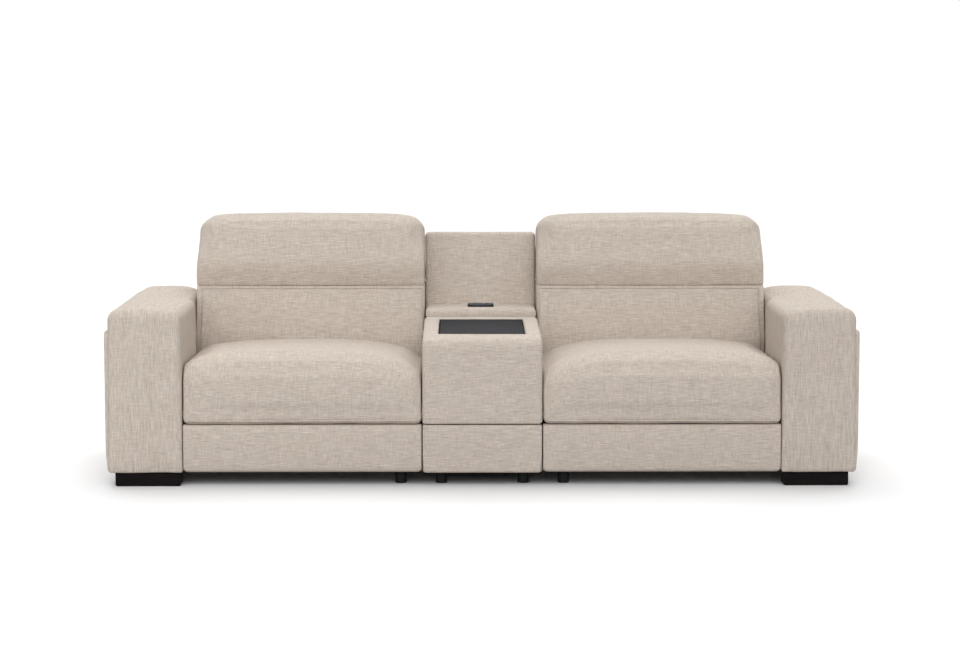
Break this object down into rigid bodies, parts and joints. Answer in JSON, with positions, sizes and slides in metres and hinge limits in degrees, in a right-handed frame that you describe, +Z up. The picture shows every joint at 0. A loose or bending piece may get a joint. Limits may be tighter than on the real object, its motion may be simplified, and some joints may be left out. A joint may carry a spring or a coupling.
{
  "type": "power reclining sofa with console",
  "caption": "Power reclining sofa with padded block arms, crowned seats, tilting headrests, lifting footrests and a fixed console whose lid drops over a storage bin.",
  "frame": {"origin": "on the floor, under the middle of the sofa's bounding box", "axes": "+X to the right of someone facing the sofa, -Y its front, +Z up"},
  "size_m": [2.514, 0.905, 0.873],
  "materials": {
    "oatmeal_fabric": "slubby woven upholstery",
    "charcoal_leather": "fine grained, matt",
    "espresso_wood": "dark stain, satin",
    "plywood": "raw board",
    "black_steel": "black powder coat",
    "black_plastic": "fine texture",
    "motor_black": "moulded",
    "hub_grey": "smooth",
    "webbing": "ribbed elastic band"
  },
  "bodies": {
    "base": {"left_arm_frame": "plywood", "right_arm_frame": "plywood", "left_arm_cover": "oatmeal_fabric", "right_arm_cover": "oatmeal_fabric", "left_arm_side_pad": "oatmeal_fabric", "right_arm_side_pad": "oatmeal_fabric", "arm_feet": "espresso_wood", "base_glides": "black_plastic", "left_base_frame": "black_steel", "right_base_frame": "black_steel", "console_carcass": "plywood", "console_cover": "oatmeal_fabric", "console_front_panel": "oatmeal_fabric", "console_bin": "black_plastic", "console_lid_pins": "black_steel", "console_ledge": "oatmeal_fabric", "console_back": "oatmeal_fabric", "power_hub": "black_plastic", "power_hub_plate": "hub_grey", "switch_plates": "black_plastic"},
    "console_lid": {"console_lid": "charcoal_leather"},
    "left_seat": {"left_seat_frame": "plywood", "left_seat_webbing": "webbing", "left_seat_cushion": "oatmeal_fabric", "left_recline_brackets": "black_steel", "left_recline_drive": "motor_black"},
    "left_back": {"left_back_frame": "plywood", "left_lumbar_cushion": "oatmeal_fabric", "left_outside_back": "oatmeal_fabric", "left_back_brackets": "black_steel", "left_headrest_hinges": "black_steel", "left_headrest_drive": "motor_black"},
    "left_headrest": {"left_headrest_board": "plywood", "left_headrest_cushion": "oatmeal_fabric"},
    "left_inner_links": {"left_footrest_inner_links": "black_steel"},
    "left_outer_links": {"left_footrest_outer_links": "black_steel"},
    "left_footrest": {"left_footrest_board": "plywood", "left_footrest_pad": "oatmeal_fabric"},
    "left_recline_rocker": {"left_recline_rocker": "black_plastic"},
    "left_headrest_rocker": {"left_headrest_rocker": "black_plastic"},
    "right_seat": {"right_seat_frame": "plywood", "right_seat_webbing": "webbing", "right_seat_cushion": "oatmeal_fabric", "right_recline_brackets": "black_steel", "right_recline_drive": "motor_black"},
    "right_back": {"right_back_frame": "plywood", "right_lumbar_cushion": "oatmeal_fabric", "right_outside_back": "oatmeal_fabric", "right_back_brackets": "black_steel", "right_headrest_hinges": "black_steel", "right_headrest_drive": "motor_black"},
    "right_headrest": {"right_headrest_board": "plywood", "right_headrest_cushion": "oatmeal_fabric"},
    "right_inner_links": {"right_footrest_inner_links": "black_steel"},
    "right_outer_links": {"right_footrest_outer_links": "black_steel"},
    "right_footrest": {"right_footrest_board": "plywood", "right_footrest_pad": "oatmeal_fabric"},
    "right_recline_rocker": {"right_recline_rocker": "black_plastic"},
    "right_headrest_rocker": {"right_headrest_rocker": "black_plastic"}
  },
  "joints": [
    {"name": "console_lid_hinge", "type": "hinge", "parent": "base", "child": "console_lid", "pos_m": [0, 0.0395, 0.49226], "axis": [-1, 0, 0], "range_deg": [0, 85]},
    {"name": "left_seat_slide", "type": "slide", "parent": "base", "child": "left_seat", "axis": [0, -1, 0], "range_m": [0, 0.11]},
    {"name": "left_recline", "type": "hinge", "parent": "left_seat", "child": "left_back", "pos_m": [-0.6, 0.1875, 0.27], "axis": [-1, 0, 0], "range_deg": [0, 32.2]},
    {"name": "left_headrest_tilt", "type": "hinge", "parent": "left_back", "child": "left_headrest", "pos_m": [-0.6, 0.2095, 0.604], "axis": [1, 0, 0], "range_deg": [0, 40]},
    {"name": "left_footrest_lift", "type": "hinge", "parent": "left_seat", "child": "left_inner_links", "pos_m": [-0.6, -0.3825, 0.19], "axis": [-1, 0, 0], "range_deg": [0, 146]},
    {"name": "left_footrest_knee", "type": "hinge", "parent": "left_inner_links", "child": "left_outer_links", "pos_m": [-0.6, -0.26759, 0.09358], "axis": [1, 0, 0], "range_deg": [0, 128.5]},
    {"name": "left_footrest_tilt", "type": "hinge", "parent": "left_outer_links", "child": "left_footrest", "pos_m": [-0.6, -0.40243, 0.17784], "axis": [-1, 0, 0], "range_deg": [0, 72.5]},
    {"name": "left_recline_rocker_press", "type": "hinge", "parent": "base", "child": "left_recline_rocker", "pos_m": [-0.197, -0.1875, 0.462], "axis": [0, 1, 0], "range_deg": [-8, 8], "stiffness_Nm_per_rad": 0.2},
    {"name": "left_headrest_rocker_press", "type": "hinge", "parent": "base", "child": "left_headrest_rocker", "pos_m": [-0.197, -0.1475, 0.462], "axis": [0, 1, 0], "range_deg": [-8, 8], "stiffness_Nm_per_rad": 0.2},
    {"name": "right_seat_slide", "type": "slide", "parent": "base", "child": "right_seat", "axis": [0, -1, 0], "range_m": [0, 0.11]},
    {"name": "right_recline", "type": "hinge", "parent": "right_seat", "child": "right_back", "pos_m": [0.6, 0.1875, 0.27], "axis": [-1, 0, 0], "range_deg": [0, 32.2]},
    {"name": "right_headrest_tilt", "type": "hinge", "parent": "right_back", "child": "right_headrest", "pos_m": [0.6, 0.2095, 0.604], "axis": [1, 0, 0], "range_deg": [0, 40]},
    {"name": "right_footrest_lift", "type": "hinge", "parent": "right_seat", "child": "right_inner_links", "pos_m": [0.6, -0.3825, 0.19], "axis": [-1, 0, 0], "range_deg": [0, 146]},
    {"name": "right_footrest_knee", "type": "hinge", "parent": "right_inner_links", "child": "right_outer_links", "pos_m": [0.6, -0.26759, 0.09358], "axis": [1, 0, 0], "range_deg": [0, 128.5]},
    {"name": "right_footrest_tilt", "type": "hinge", "parent": "right_outer_links", "child": "right_footrest", "pos_m": [0.6, -0.40243, 0.17784], "axis": [-1, 0, 0], "range_deg": [0, 72.5]},
    {"name": "right_recline_rocker_press", "type": "hinge", "parent": "base", "child": "right_recline_rocker", "pos_m": [0.197, -0.1875, 0.462], "axis": [0, 1, 0], "range_deg": [-8, 8], "stiffness_Nm_per_rad": 0.2},
    {"name": "right_headrest_rocker_press", "type": "hinge", "parent": "base", "child": "right_headrest_rocker", "pos_m": [0.197, -0.1475, 0.462], "axis": [0, 1, 0], "range_deg": [-8, 8], "stiffness_Nm_per_rad": 0.2}
  ],
  "couplings": [
    {"joint": "left_recline", "follows": "left_seat_slide", "rad_per_m": 5.0773},
    {"joint": "left_footrest_knee", "follows": "left_footrest_lift", "ratio": 0.87671},
    {"joint": "left_footrest_tilt", "follows": "left_footrest_lift", "ratio": 0.49315},
    {"joint": "right_recline", "follows": "right_seat_slide", "rad_per_m": 5.0773},
    {"joint": "right_footrest_knee", "follows": "right_footrest_lift", "ratio": 0.87671},
    {"joint": "right_footrest_tilt", "follows": "right_footrest_lift", "ratio": 0.49315}
  ]
}
